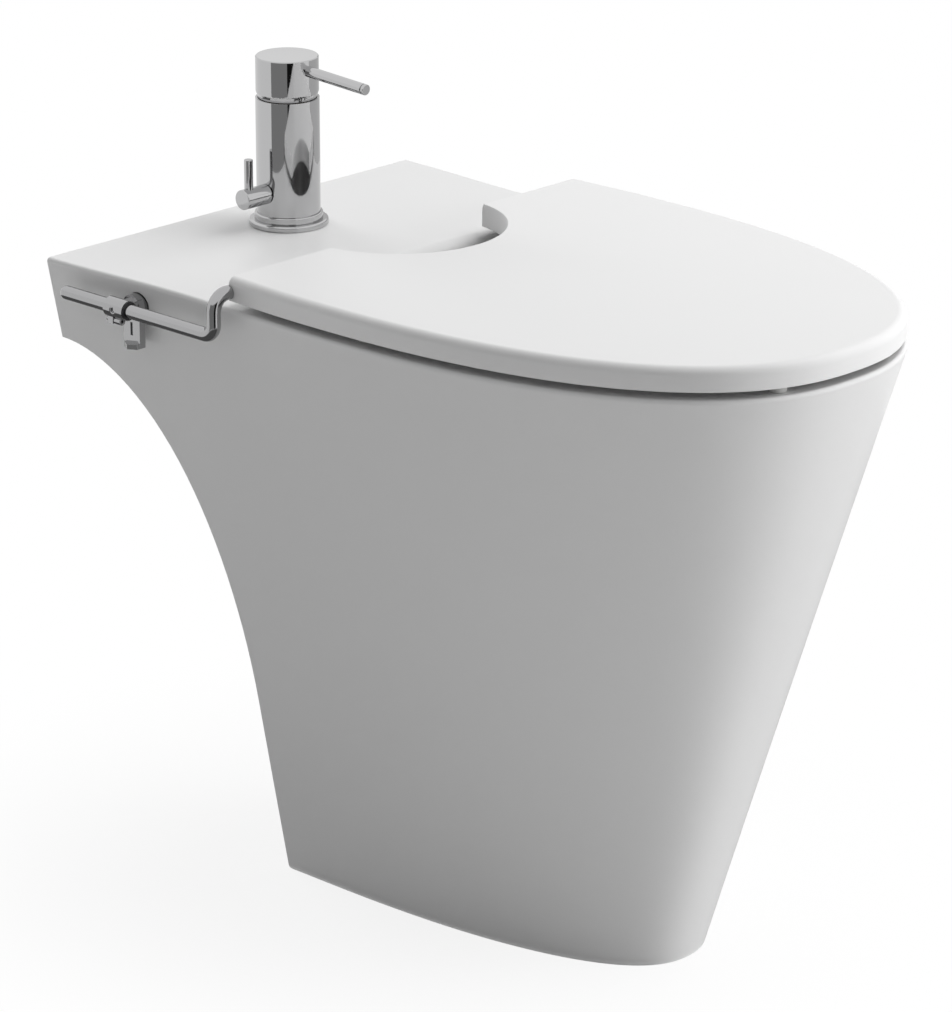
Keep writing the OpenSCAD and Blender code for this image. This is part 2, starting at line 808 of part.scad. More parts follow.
module mixer_body() {
    color("silver")
        difference() {
            union() {
                z_bar(body_r, body_z, body_top, 0, mixer_y);
                z_bar(spigot_r, spigot_z, body_z + cut, 0, mixer_y);
            }
            // Wide mouth that the cap's rear edge dips into
            z_bar(socket_r, body_top - dip, body_top + cut, 0, mixer_y);
            z_bar(cartridge_r + loose, cartridge_z, body_top, 0, mixer_y);
            // Water ways: two inlets and two outlets
            for (a = [45:90:315]) {
                x = port_ring * cos(a);
                y = mixer_y + port_ring * sin(a);
                z_bar(port_r, spigot_z - cut, spigot_z + port_depth, x, y);
                z_bar(way_r, spigot_z, a < 180 ? cartridge_z + cut : div_z, x, y);
            }
            z_bar(way_r, div_z, cartridge_z + cut, 0, mixer_y);
            // Cross ways from the two outlets in to the diverter
            for (side = [-1, 1])
                translate([side * port_ring * cos(45), mixer_y - port_ring * sin(45), div_z])
                    rotate([-90, 0, 0])
                        cylinder(r = 2, h = port_ring * sin(45));
            z_bar(stud_r, spigot_z - cut, deck_h + 2, 0, mixer_y);
            x_bar(spindle_r + run_gap, -body_r - cut, port_ring, mixer_y, div_z);
            x_bar(6.2, -body_r - cut, -body_r + 4, mixer_y, div_z);
        }
}

module cartridge() {
    color("whitesmoke")
        difference() {
            union() {
                z_bar(cartridge_r, cartridge_z, cartridge_top - nut_t - 4, 0, mixer_y);
                z_bar(11, cartridge_top - nut_t - 4, cartridge_top, 0, mixer_y);
            }
            z_bar(stem_r + run_gap, cartridge_z + 8, cartridge_top + cut, 0, mixer_y);
        }
}

module cartridge_nut() {
    color("goldenrod")
        z_ring(cartridge_r + loose, 11 + loose, cartridge_top - nut_t - 4, cartridge_top - 1, 0, mixer_y);
}

// Stem that turns in the cartridge, with a fork that carries the cross pin
module swivel_stem() {
    color("silver")
        difference() {
            union() {
                z_bar(stem_r, cartridge_z + 8 + seat, pivot_z - fork_r - 2, 0, mixer_y);
                z_bar(fork_x, cartridge_top + 0.5, pivot_z - fork_r - 2, 0, mixer_y);
                translate([-fork_x, mixer_y - 4, pivot_z - fork_r - 2])
                    cube([2 * fork_x, 8, fork_r + 2]);
                x_bar(4, -fork_x, fork_x, mixer_y, pivot_z);
            }
            translate([-tongue_x - loose, mixer_y - fork_x, pivot_z - fork_r - 1])
                cube([2 * tongue_x + 2 * loose, 2 * fork_x, 3 * fork_r]);
            x_bar(pin_r, -fork_x - cut, fork_x + cut, mixer_y, pivot_z);
        }
}

module pivot_pin() {
    color("gray")
        x_bar(pin_r, -fork_x, fork_x, mixer_y, pivot_z);
}

// The lever's axis, from the cap's wall out to the front
module along_lever() {
    translate([0, mixer_y - cap_r, lever_z])
        rotate([90 + lever_slope, 0, 0])
            children();
}

module mixer_cap() {
    color("silver")
        difference() {
            union() {
                difference() {
                    translate([0, mixer_y, cap_z])
                        rotate_extrude()
                            polygon([[0, 0], [cap_r - cap_cham_in, 0], [cap_r, cap_cham_h],
                                     [cap_r, cap_h - 0.6], [cap_r - 0.6, cap_h], [0, cap_h]]);
                    z_bar(cap_bore, cap_z - cut, cap_roof, 0, mixer_y);
                }
                // Tongue that hangs between the ears of the fork
                translate([-tongue_x, mixer_y - 3.6, pivot_z])
                    cube([2 * tongue_x, 7.2, cap_roof - pivot_z + 1]);
                x_bar(3.6, -tongue_x, tongue_x, mixer_y, pivot_z);
                // Boss behind the lever's thread
                intersection() {
                    along_lever()
                        translate([0, 0, -8])
                            cylinder(r = 6, h = 7);
                    z_bar(cap_bore + 1, cap_z, cap_roof + 1, 0, mixer_y);
                }
            }
            x_bar(pin_r + run_gap, -2 * tongue_x, 2 * tongue_x, mixer_y, pivot_z);
            along_lever()
                translate([0, 0, -6])
                    cylinder(r = lever_r, h = 12);
        }
}

module lever_rod() {
    color("silver")
        along_lever()
            translate([0, 0, -6])
                cylinder(r = lever_r, h = lever_reach - cap_r + 6 - tip_len);
}

module lever_tip() {
    color("silver")
        along_lever()
            translate([0, 0, lever_reach - cap_r - tip_len]) {
                cylinder(r = lever_r - 0.5, h = 0.8);
                translate([0, 0, 0.8])
                    round_disc(lever_r, tip_len - 0.8, 0.5);
            }
}

// Diverter, which turns about an axis along X

module diverter_spindle() {
    color("goldenrod")
        x_bar(spindle_r, -body_r - 11, port_ring - seat, mixer_y, div_z);
}

module diverter_knob() {
    color("silver")
        difference() {
            translate([-body_r - loose, mixer_y, div_z])
                rotate([0, -90, 0])
                    round_disc(div_r, div_reach - body_r - loose, 0.6);
            x_bar(spindle_r, -body_r - 11, -body_r, mixer_y, div_z);
            z_bar(stick_r, div_z + 2, div_z + div_r + cut, -stick_x, mixer_y);
        }
}

module diverter_stick() {
    color("silver")
        translate([-stick_x, mixer_y, div_z + 2])
            round_disc(stick_r, stick_reach - 2, 0.6);
}

module diverter_o_ring() {
    color("black")
        difference() {
            x_bar(6.2, -body_r + 0.8, -body_r + 4, mixer_y, div_z);
            x_bar(spindle_r + run_gap, -body_r, -body_r + 4, mixer_y, div_z);
        }
}

// Under-deck fixing of the mixer

module fixing_stud() {
    color("goldenrod")
        z_bar(stud_r, deck_h - deck_t - 38, deck_h + 1.8, 0, mixer_y);
}

module clamp_rubber() {
    color("black")
        z_ring(clamp_ring_r, tap_hole_r - 1.7, deck_h - deck_t - 3, deck_h - deck_t, 0, mixer_y);
}

// Ring with a bridge for the stud, open for the water ways on either side
module clamp_plate() {
    color("silver")
        difference() {
            union() {
                z_ring(clamp_ring_r, tap_hole_r - 1.7, clamp_plate_z, clamp_plate_z + 3, 0, mixer_y);
                translate([-tap_hole_r, mixer_y - bridge_w / 2, clamp_plate_z])
                    cube([2 * tap_hole_r, bridge_w, 3]);
            }
            z_bar(stud_r + loose, clamp_plate_z - cut, clamp_plate_z + 4, 0, mixer_y);
        }
}

module fixing_nut() {
    color("goldenrod")
        difference() {
            z_hex(5.8, clamp_plate_z - 5, clamp_plate_z, 0, mixer_y);
            z_bar(stud_r, clamp_plate_z - 6, clamp_plate_z + cut, 0, mixer_y);
        }
}

// Bowl filler in the rear wall of the bowl

module bowl_inlet() {
    color("silver")
        difference() {
            union() {
                u_bar(inlet_disc_r, inlet_front_u, inlet_front_u + 2.5, 0, inlet_z);
                u_bar(inlet_r, inlet_rear_u - 24, inlet_front_u, 0, inlet_z);
            }
            u_bar(inlet_r - 2, inlet_rear_u - 25, inlet_front_u + 1, 0, inlet_z);
            for (x = [-4:4:4])
                u_bar(1.3, inlet_front_u - 1, inlet_front_u + 3, x, inlet_z);
        }
}

module inlet_gasket() {
    color("black")
        difference() {
            u_bar(inlet_disc_r, inlet_rear_u - 2.5, inlet_rear_u, 0, inlet_z);
            u_bar(inlet_r + seat, inlet_rear_u - 4, inlet_rear_u + 1, 0, inlet_z);
        }
}

module inlet_nut() {
    color("goldenrod")
        difference() {
            translate([0, yw(inlet_rear_u - 10), inlet_z])
                rotate([90, 0, 0])
                    cylinder(r = inlet_disc_r, h = 7.5, $fn = 6);
            u_bar(inlet_r, inlet_rear_u - 12, inlet_rear_u, 0, inlet_z);
        }
}

// Waste

module waste_seal_top() {
    color("black")
        z_ring(waste_r - 1.5, waste_thread_r + loose, floor_z, floor_z + 1.5, 0, waste_y);
}

module waste_flange() {
    top = floor_z + 4;
    color("silver")
        difference() {
            union() {
                translate([0, waste_y, floor_z + 1.5])
                    round_disc(waste_r, top - floor_z - 1.5, 1);
                z_bar(waste_thread_r, tail_z, floor_z + 2, 0, waste_y);
            }
            z_bar(waste_thread_r - 2.5, tail_z - cut, top - 2, 0, waste_y);
            z_bar(plug_r + 1.6, top - 2, top + cut, 0, waste_y);
        }
    // Spokes that guide the plug's stem
    color("silver")
        difference() {
            union() {
                z_bar(plug_stem_r + 2.4, plug_guide_z, plug_guide_z + plug_guide_h, 0, waste_y);
                for (a = [0:120:240])
                    translate([0, waste_y, plug_guide_z + 2])
                        rotate([0, 0, a])
                            translate([0, -1.2, 0])
                                cube([waste_thread_r - 1.5, 2.4, 6]);
            }
            z_bar(plug_stem_r + run_gap, plug_guide_z - cut, plug_guide_z + plug_guide_h + cut,
                  0, waste_y);
        }
}

module waste_seal_under() {
    color("black")
        z_ring(waste_r - 2, waste_thread_r + loose, floor_z - wall - waste_seal_t, floor_z - wall,
               0, waste_y);
}

module waste_nut() {
    top = floor_z - wall - waste_seal_t;
    color("goldenrod")
        difference() {
            z_hex(waste_r - 1, top - waste_nut_h, top, 0, waste_y);
            z_bar(waste_thread_r, top - waste_nut_h - cut, top + cut, 0, waste_y);
        }
}

module waste_plug() {
    color("silver")
        difference() {
            union() {
                translate([0, waste_y, floor_z + 4 + plug_travel])
                    round_disc(plug_r, 3, 1.5);
                z_bar(plug_stem_r, plug_clip_z - 3, floor_z + 4 + plug_travel, 0, waste_y);
                z_bar(plug_stem_r + 4, floor_z + 2 + plug_travel, floor_z + 4 + plug_travel, 0, waste_y);
            }
            z_ring(plug_stem_r + 1, plug_stem_r - 1, plug_clip_z, plug_clip_z + 1, 0, waste_y);
        }
}

module plug_seal() {
    color("black")
        z_ring(plug_r - 0.6, plug_stem_r + 4, floor_z + 2.3 + plug_travel, floor_z + 4 + plug_travel,
               0, waste_y);
}

module plug_clip() {
    color("gray")
        z_ring(plug_stem_r + 2.4, plug_stem_r - 1, plug_clip_z, plug_clip_z + 1, 0, waste_y);
}

// Tail pipe that screws over the waste thread and runs down into the trap
module waste_tail() {
    cup_z = tail_z - tail_step;
    color("silver")
        difference() {
            union() {
                z_bar(waste_thread_r + 3, cup_z, tail_z + 12, 0, waste_y);
                z_bar(pipe_r, trap_z + 30, cup_z, 0, waste_y);
            }
            z_bar(waste_thread_r, tail_z, tail_z + 13, 0, waste_y);
            z_bar(pipe_r - pipe_wall, trap_z + 29, tail_z, 0, waste_y);
        }
}

module trap_inlet_nut() {
    color("silver")
        difference() {
            z_bar(pipe_r + 6, trap_top, trap_top + trap_nut_h, 0, waste_y);
            z_bar(pipe_r, trap_top - cut, trap_top + trap_nut_h + cut, 0, waste_y);
        }
}

module trap_body() {
    color("silver")
        difference() {
            union() {
                z_bar(trap_r, cup_top, trap_top, 0, waste_y);
                u_bar(pipe_r + 4, waste_u - trap_r - 16, waste_u, 0, outlet_z);
            }
            z_bar(trap_r - pipe_wall - 1, cup_top - cut, trap_top - 3, 0, waste_y);
            z_bar(pipe_r + seat, trap_top - 4, trap_top + cut, 0, waste_y);
            u_bar(pipe_r - pipe_wall, waste_u - trap_r - 17, waste_u, 0, outlet_z);
            u_bar(pipe_r + seat, waste_u - trap_r - 17, waste_u - trap_r - 4, 0, outlet_z);
        }
}

module trap_ring() {
    color("black")
        z_ring(trap_r, trap_r - pipe_wall - 1, cup_top - 1.5, cup_top, 0, waste_y);
}

module trap_cup() {
    color("silver")
        difference() {
            translate([0, waste_y, trap_z])
                union() {
                    cylinder(r1 = trap_r - 8, r2 = trap_r, h = 8);
                    translate([0, 0, 8])
                        cylinder(r = trap_r, h = cup_top - 1.5 - trap_z - 8);
                }
            z_bar(trap_r - 8, trap_z + 3, trap_z + 9, 0, waste_y);
            z_bar(trap_r - pipe_wall - 1, trap_z + 8, cup_top, 0, waste_y);
        }
}

// Pipe to the wall; its inner end is drawn a little thinner where the nut and the seal hold it
module trap_outlet() {
    color("silver")
        difference() {
            union() {
                u_bar(pipe_r, outlet_u, outlet_neck_u, 0, outlet_z);
                u_bar(outlet_neck_r, outlet_neck_u, waste_u - trap_r - 4.3, 0, outlet_z);
            }
            u_bar(pipe_r - pipe_wall, outlet_u - cut, waste_u - trap_r, 0, outlet_z);
        }
}

module outlet_seal() {
    color("black")
        difference() {
            u_bar(pipe_r + 3.5, waste_u - trap_r - 18.5, waste_u - trap_r - 16, 0, outlet_z);
            u_bar(outlet_neck_r, waste_u - trap_r - 19, waste_u - trap_r - 15, 0, outlet_z);
        }
}

module outlet_nut() {
    color("silver")
        difference() {
            u_bar(pipe_r + 7, waste_u - trap_r - 22, waste_u - trap_r - 8, 0, outlet_z);
            u_bar(pipe_r, waste_u - trap_r - 23, waste_u - trap_r - 8, 0, outlet_z);
            u_bar(pipe_r + 4, waste_u - trap_r - 18.5, waste_u - trap_r - 7, 0, outlet_z);
        }
}

pan();
pan_bowl();
pan_bowl_floor();
pan_deck();
pan_rim_left();
pan_rim_right();
pan_rim_front();
lid();
lid_bumpers();
hinge_rod_left();
hinge_rod_right();
hinge_bracket_left();
hinge_bracket_right();
sleeve_bushes();
sleeve_set_screws();
sleeve_clamp_screws();
height_screws();
bracket_rosettes();
bracket_bolts();
bracket_gaskets();
bracket_washers();
mixer_seal();
mixer_flange();
mixer_step_ring();
mixer_body();
cartridge();
cartridge_nut();
swivel_stem();
pivot_pin();
mixer_cap();
lever_rod();
lever_tip();
diverter_spindle();
diverter_knob();
diverter_stick();
diverter_o_ring();
fixing_stud();
clamp_rubber();
clamp_plate();
fixing_nut();
bowl_inlet();
inlet_gasket();
inlet_nut();
waste_flange();
waste_seal_top();
waste_seal_under();
waste_nut();
waste_plug();
plug_seal();
plug_clip();
waste_tail();
trap_inlet_nut();
trap_body();
trap_cup();
trap_ring();
trap_outlet();
outlet_nut();
outlet_seal();
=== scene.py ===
import json
import math

import bpy
import bmesh
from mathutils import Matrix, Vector


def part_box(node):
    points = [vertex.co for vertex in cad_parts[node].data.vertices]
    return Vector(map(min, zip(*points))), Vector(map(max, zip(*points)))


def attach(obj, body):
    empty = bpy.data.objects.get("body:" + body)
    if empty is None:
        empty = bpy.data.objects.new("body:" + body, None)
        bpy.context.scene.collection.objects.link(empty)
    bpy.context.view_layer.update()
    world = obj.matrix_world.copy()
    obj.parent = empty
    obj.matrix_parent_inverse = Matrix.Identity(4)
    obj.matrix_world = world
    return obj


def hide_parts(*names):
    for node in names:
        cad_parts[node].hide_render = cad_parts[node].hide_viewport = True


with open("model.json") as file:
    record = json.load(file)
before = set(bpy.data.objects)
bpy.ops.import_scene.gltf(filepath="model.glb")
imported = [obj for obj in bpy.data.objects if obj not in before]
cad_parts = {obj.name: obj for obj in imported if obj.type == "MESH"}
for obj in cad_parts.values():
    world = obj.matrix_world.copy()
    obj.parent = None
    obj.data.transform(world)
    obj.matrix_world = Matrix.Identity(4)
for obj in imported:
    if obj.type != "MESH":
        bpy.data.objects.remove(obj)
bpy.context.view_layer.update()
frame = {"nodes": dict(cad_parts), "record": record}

MM = 0.001
NODES = frame["nodes"]
SLOT_OF = {s["node"]: s["material_slot"] for s in frame["record"]["subparts"]}

# Sizes in mm, as in the part's source. u is a distance from the wall.
# The last two groups are the visual model's own.

# Pan: outline at the deck and at the foot, casting, and rear sweep
DECK_H, PAN_LEN, REAR_W, RIM_W, WAIST, WIDEST_U = 432.0, 560.0, 343.0, 340.0, 5.0, 246.0
FOOT_W, FOOT_REAR_U, FOOT_FRONT_U, FOOT_WIDEST_U, WALL_Y = 160.0, 131.0, 428.0, 168.0, 165.0
FRONT_POW, WALL, DECK_T, BLOCK_H, SWEEP_H = 2.36, 13.0, 16.0, 58.0, 242.0

# Bowl
BOWL_W, BOWL_REAR_U, FRONT_RIM, BOWL_DEPTH, FLOOR_SHARE = 250.0, 172.0, 42.0, 150.0, 0.3
BOWL_POW, BOWL_REAR_POW, BOWL_SIDE_POW, BOWL_EDGE = 2.4, 4.0, 0.36, 12.0
BOWL_FRONT_U = PAN_LEN - FRONT_RIM
WASTE_U = (BOWL_REAR_U + BOWL_FRONT_U) / 2
FLOOR_Z = DECK_H - BOWL_DEPTH
# The rim is solid above this height and in front of this place
JOIN_Z = DECK_H - 2 * DECK_T
RIM_JOINT_U = BOWL_REAR_U + 15.0

# Holes and seats in the pan
MIXER_U, TAP_HOLE_R, WASTE_HOLE_R = 56.0, 17.5, 22.4
INLET_Z, INLET_HOLE_R, INLET_SEAT_R = DECK_H - 38, 8.0, 13.0
INLET_FLANGE, INLET_TAIL = 2.5, 24
BRACKET_U, BOLT_HOLE_R, ROSETTE_SEAT_R, GASKET_SEAT_R, SEAT_STEP = 84.0, 4.5, 8.2, 9.0, 2
FLOOR_HOLE_X, FLOOR_HOLE_R = 42, 4.5
LUG_X, LUG_Z, LUG_SIZE = 55.6, 5, (48.8, 36, 18)

# Lid
LID_T, LID_GAP, LID_INSET, LID_REAR_U, LID_WALL, LID_TOP = 16.0, 4.9, 1.5, 170.2, 3.5, 3.8
NOTCH_R, NOTCH_U = 72.0, 162.0
LID_Z = DECK_H + LID_GAP
LID_HALF = RIM_W / 2 - LID_INSET
BUMPER_R, REAR_BUMPER_BACK = 6.0, 60

# Hinge rods
HINGE_U, HINGE_Z, ROD_X, ROD_Z = 172.5, DECK_H + 11.1, 180.0, DECK_H - 16.0
HINGE_PIN_R, HINGE_PIN_LEN, BARREL_R, BARREL_LEN = 2.0, 18.0, 4.2, 21.0
RUN_GAP, PIN_END_GAP = 0.05, 1

# Rounded edges and corners of the visual model alone, and the angles above which edges stay sharp
PAN_EDGE, PAN_CORNER, HOLLOW_CORNER = 3.3, 1.0, 6.0
LID_EDGE, LID_FOOT_EDGE, NOTCH_EDGE, LID_ROOF_EDGE = 6.0, 0.8, 1.2, 1.5
LID_CORNER, LEAST_CORNER = 2.5, 0.5
SHARP_ANGLE, SHARP_ANGLE_METAL = 32, 35

# How far the pan's cutters reach: past a surface, below the deck or the bowl's floor, and behind
# the bowl; then from and to in x or z
CUT_PAST, TAP_CUT, WASTE_CUT, INLET_CUT, GASKET_CUT = 4, 40, 30, 20, 16
BOLT_CUT, SEAT_CUT, FLOOR_CUT = (140, 190), 200, (-3, 20)
# Solid left in the lid round the hinge barrels, and where the lid's cutters start and end
BOSS_PAST, BOSS_DEPTH, BOSS_HEIGHT = 2, 14, 30
BOSS_U, BOSS_Z = LID_REAR_U + 5, LID_Z + 6
LID_CUT_Z, BUMPER_CUT_Z, BORE_ROOF, BARREL_SIDE_GAP = LID_Z - 2, LID_Z - 3, 2, 0.3


def yw(u):
    """The y of a distance from the wall."""
    return WALL_Y - u


def yw_inv(y):
    """The distance from the wall of a y."""
    return WALL_Y - y


def mix(a, b, t):
    return a + (b - a) * t


def spow(v, p):
    """Signed power, for the squared ellipses."""
    return math.copysign(abs(v) ** p, v)


# Meshes

def make_object(name, verts, faces, body, smooth_angle=SHARP_ANGLE_METAL):
    """A mesh object from points in mm, riding on a body."""
    mesh = bpy.data.meshes.new(name)
    mesh.from_pydata([Vector(v) * MM for v in verts], [], faces)
    bm = bmesh.new()
    bm.from_mesh(mesh)
    bmesh.ops.remove_doubles(bm, verts=bm.verts, dist=1e-7)
    bmesh.ops.recalc_face_normals(bm, faces=bm.faces)
    bm.to_mesh(mesh)
    bm.free()
    obj = bpy.data.objects.new(name, mesh)
    bpy.context.scene.collection.objects.link(obj)
    soften(obj, smooth_angle)
    if body:
        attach(obj, body)
    return obj


def soften(obj, angle):
    """Smooth shading with sharp edges above an angle."""
    mesh = obj.data
    mesh.polygons.foreach_set("use_smooth", [True] * len(mesh.polygons))
    mesh.set_sharp_from_angle(angle=math.radians(angle))


def loft(rings):
    """Points and faces of a closed solid through rings with the same number of points."""
    n = len(rings[0])
    verts = [p for r in rings for p in r]
    faces = []
    for k in range(len(rings) - 1):
        for i in range(n):
            a, b = k * n + i, k * n + (i + 1) % n
            faces.append((a, b, b + n, a + n))
    faces.append(tuple(reversed(range(n))))
    faces.append(tuple((len(rings) - 1) * n + i for i in range(n)))
    return verts, faces


def apply_modifiers(obj):
    depsgraph = bpy.context.evaluated_depsgraph_get()
    new = bpy.data.meshes.new_from_object(obj.evaluated_get(depsgraph))
    old = obj.data
    obj.modifiers.clear()
    obj.data = new
    bpy.data.meshes.remove(old)


def carve(obj, cutters, operation="DIFFERENCE"):
    """Takes the cutters away from a solid, or joins them to it, and removes them."""
    for c in cutters:
        m = obj.modifiers.new("cut", "BOOLEAN")
        m.operation = operation
        m.solver = "EXACT"
        m.object = c
    apply_modifiers(obj)
    for c in cutters:
        bpy.data.objects.remove(c)


def weighted(obj, weight=80):
    """Normals that keep broad flat faces flat beside their rounded edges."""
    m = obj.modifiers.new("weighted", "WEIGHTED_NORMAL")
    m.keep_sharp = True
    m.weight = weight
    apply_modifiers(obj)


def rod_cutter(r, axis, a, b, centre, n=64):
    """A round cutter from a to b along an axis, in mm."""
    verts = []
    for end in (a, b):
        for i in range(n):
            t = 2 * math.pi * i / n
            c, s = r * math.cos(t), r * math.sin(t)
            x, y, z = centre
            verts.append({"x": (end, y + c, z + s), "y": (x + c, end, z + s),
                          "z": (x + c, y + s, end)}[axis])
    faces = [(i, (i + 1) % n, n + (i + 1) % n, n + i) for i in range(n)]
    faces += [tuple(reversed(range(n))), tuple(range(n, 2 * n))]
    return make_object("cutter", verts, faces, None)


# Pan

def half_width(u, w0, w1, u1, d):
    """Half width of an outline from w0 at the wall to w1 at u1, drawn in by d between."""
    return mix(w0, w1, u / u1) - d * math.sin(math.pi * u / u1) ** 2


def pan_half(u, z):
    """Half width of the pan at a height, behind its widest place."""
    t = z / DECK_H
    return half_width(u, mix(FOOT_W, REAR_W, t) / 2, mix(FOOT_W, RIM_W, t) / 2,
                      mix(FOOT_WIDEST_U, WIDEST_U, t), WAIST * t)


def outline(w0, w1, u0, u1, tip, draw, inset, side_n=14, front_n=44, corner=0.0, corner_n=5):
    """Right half of an outline from the rear to the tip, as (half width, u)."""
    pts = []
    first = u0 + inset
    if corner > 0:
        h = half_width(first + corner, w0, w1, u1, draw) - inset
        for i in range(corner_n):
            a = math.radians(90 * i / corner_n)
            pts.append((h - corner + corner * math.sin(a), first + corner - corner * math.cos(a)))
        first += corner
    for i in range(side_n):
        u = mix(first, u1, i / side_n)
        pts.append((half_width(u, w0, w1, u1, draw) - inset, u))
    for i in range(front_n + 1):
        a = math.radians(90 * i / front_n)
        pts.append(((w1 - inset) * spow(math.cos(a), 2 / FRONT_POW) if i < front_n else 0.0,
                    u1 + (tip - inset - u1) * spow(math.sin(a), 2 / FRONT_POW)))
    return pts


def whole(half, z):
    """A closed ring at a height from a right half and its mirror image."""
    ring = [(w, yw(u), z) for w, u in half]
    return ring + [(-w, yw(u), z) for w, u in reversed(half[:-1])]


def pan_ring(z, inset, u0, corner):
    """The pan's outline at a height, set in all round, with its rear face at u0."""
    t = z / DECK_H
    return whole(outline(mix(FOOT_W, REAR_W, t) / 2, mix(FOOT_W, RIM_W, t) / 2, u0,
                         mix(FOOT_WIDEST_U, WIDEST_U, t), mix(FOOT_FRONT_U, PAN_LEN, t),
                         WAIST * t, inset, corner=corner), z)


def bowl_share(fall):
    """Share of the bowl's plan that is left at a fall, from 0 at the deck to 1 at its floor."""
    return FLOOR_SHARE + (1 - FLOOR_SHARE) * max(0.0, 1 - fall * fall) ** BOWL_SIDE_POW


def bowl_ring(z, share, grow, n=120):
    """One ring of the bowl, squarer at the rear than in front."""
    ring = []
    for i in range(n):
        a = 2 * math.pi * i / n
        p = 2 / (BOWL_REAR_POW if math.sin(a) < 0 else BOWL_POW)
        ring.append(((BOWL_W / 2 * share + grow) * spow(math.cos(a), p),
                     yw(WASTE_U) - ((BOWL_FRONT_U - BOWL_REAR_U) / 2 * share + grow)
                     * spow(math.sin(a), p), z))
    return ring


def bowl_rings(grow, edge, levels=20, edge_n=10, past=2):
    """The bowl's rings from its floor up to a rounded upper edge, and past the deck."""
    rings = []
    for i in range(levels):
        f = math.cos(math.pi / 2 * i / levels)
        rings.append(bowl_ring(DECK_H - (BOWL_DEPTH + grow) * f, bowl_share(f), grow))
    if edge > 0:
        for i in range(edge_n + 1):
            a = math.pi / 2 * i / edge_n
            rings.append(bowl_ring(DECK_H - edge * (1 - math.sin(a)), 1, grow + edge * (1 - math.cos(a))))
        rings.append(bowl_ring(DECK_H + past, 1, grow + edge))
    else:
        rings.append(bowl_ring(DECK_H + past, 1, grow))
    return rings


def pan_shell(sweep_n=28, edge_n=8, rear_share=0.75, foot_bevel=((0, 1.0), (1.0, 0.3), (2.5, 0))):
    """The outside of the casting. Its upper edge is rounded least at the wall."""
    rings = [pan_ring(z, inset, FOOT_REAR_U, PAN_CORNER) for z, inset in foot_bevel]
    base = DECK_H - BLOCK_H - SWEEP_H
    rings.append(pan_ring(base * 0.5, 0, FOOT_REAR_U, PAN_CORNER))
    for i in range(sweep_n + 1):
        a = math.radians(90 * i / sweep_n)
        rings.append(pan_ring(base + SWEEP_H * math.sin(a), 0, FOOT_REAR_U * math.cos(a), PAN_CORNER))
    for i in range(edge_n + 1):
        a = math.radians(90 * i / edge_n)
        inset = PAN_EDGE * (1 - math.cos(a))
        rings.append(pan_ring(DECK_H - PAN_EDGE * (1 - math.sin(a)), inset, -rear_share * inset,
                              PAN_CORNER))
    return make_object("pan_ceramic", *loft(rings), None)


def pan_hollow(low=-2.0, bevel=2.4, edge=8):
    """The space inside the casting, without the bowl, the floor lugs and the solid rim."""
    top = DECK_H - DECK_T
    levels = ((low, WALL), (top - edge, WALL), (top - bevel, WALL + bevel), (top, WALL + edge))
    hollow = make_object("cutter", *loft([pan_ring(z, inset, 0, HOLLOW_CORNER) for z, inset in levels]), None)
    carve(hollow, [make_object("cutter", *loft(bowl_rings(WALL, 0)), None)])
    for side in (-1, 1):
        carve(hollow, [block_mesh((side * LUG_X, 0, LUG_Z), LUG_SIZE)])
    rim_len = PAN_LEN - RIM_JOINT_U + WALL
    carve(hollow, [block_mesh((0, yw(RIM_JOINT_U + rim_len / 2), JOIN_Z + DECK_T),
                              (2 * REAR_W, rim_len, 2 * DECK_T))])
    return hollow


def inlet_ends(node):
    """The front and rear of the ceramic that the filler goes through, as distances from the wall."""
    lo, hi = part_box(node)
    return yw_inv(lo.y / MM) - INLET_FLANGE, yw_inv(hi.y / MM) + INLET_TAIL


def inlet_cutters():
    """The filler's hole through the bowl's side, and its seats for the flange and the gasket."""
    front_u, rear_u = inlet_ends("bowl_inlet")
    gasket_front = yw_inv(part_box("inlet_gasket")[0].y / MM)
    centre = (0, 0, INLET_Z)
    return [rod_cutter(INLET_HOLE_R, "y", yw(front_u + WALL), yw(rear_u - INLET_CUT), centre),
            rod_cutter(INLET_SEAT_R, "y", yw(front_u + WALL), yw(front_u), centre),
            rod_cutter(INLET_SEAT_R, "y", yw(gasket_front), yw(gasket_front - GASKET_CUT), centre)]


def side_cutters(side):
    """The bracket's bolt hole and its two ground seats, and the floor screw's hole."""
    out_x = rosette_inner()
    in_x = out_x - WALL + SEAT_STEP
    centre = (0, yw(BRACKET_U), ROD_Z)
    return [rod_cutter(BOLT_HOLE_R, "x", *sorted(side * x for x in BOLT_CUT), centre),
            rod_cutter(ROSETTE_SEAT_R, "x", *sorted((side * out_x, side * SEAT_CUT)), centre),
            rod_cutter(GASKET_SEAT_R, "x", *sorted((side * (in_x - (WALL + CUT_PAST)), side * in_x)), centre),
            rod_cutter(FLOOR_HOLE_R, "z", *FLOOR_CUT, (side * FLOOR_HOLE_X, 0, 0))]


def build_pan():
    """The whole casting as one glazed piece, with its bowl, holes and seats."""
    pan = pan_shell()
    cutters = [pan_hollow(), make_object("cutter", *loft(bowl_rings(0, BOWL_EDGE)), None),
               rod_cutter(TAP_HOLE_R, "z", DECK_H - TAP_CUT, DECK_H + CUT_PAST, (0, yw(MIXER_U), 0)),
               rod_cutter(WASTE_HOLE_R, "z", FLOOR_Z - WASTE_CUT, FLOOR_Z + CUT_PAST, (0, yw(WASTE_U), 0))]
    cutters += inlet_cutters() + side_cutters(-1) + side_cutters(1)
    carve(pan, cutters)
    soften(pan, SHARP_ANGLE)
    weighted(pan)
    return pan


def rosette_inner():
    """The x of the ground seat under a rosette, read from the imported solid."""
    xs = [abs(v.co.x) / MM for v in NODES["bracket_rosettes"].data.vertices]
    return min(xs)


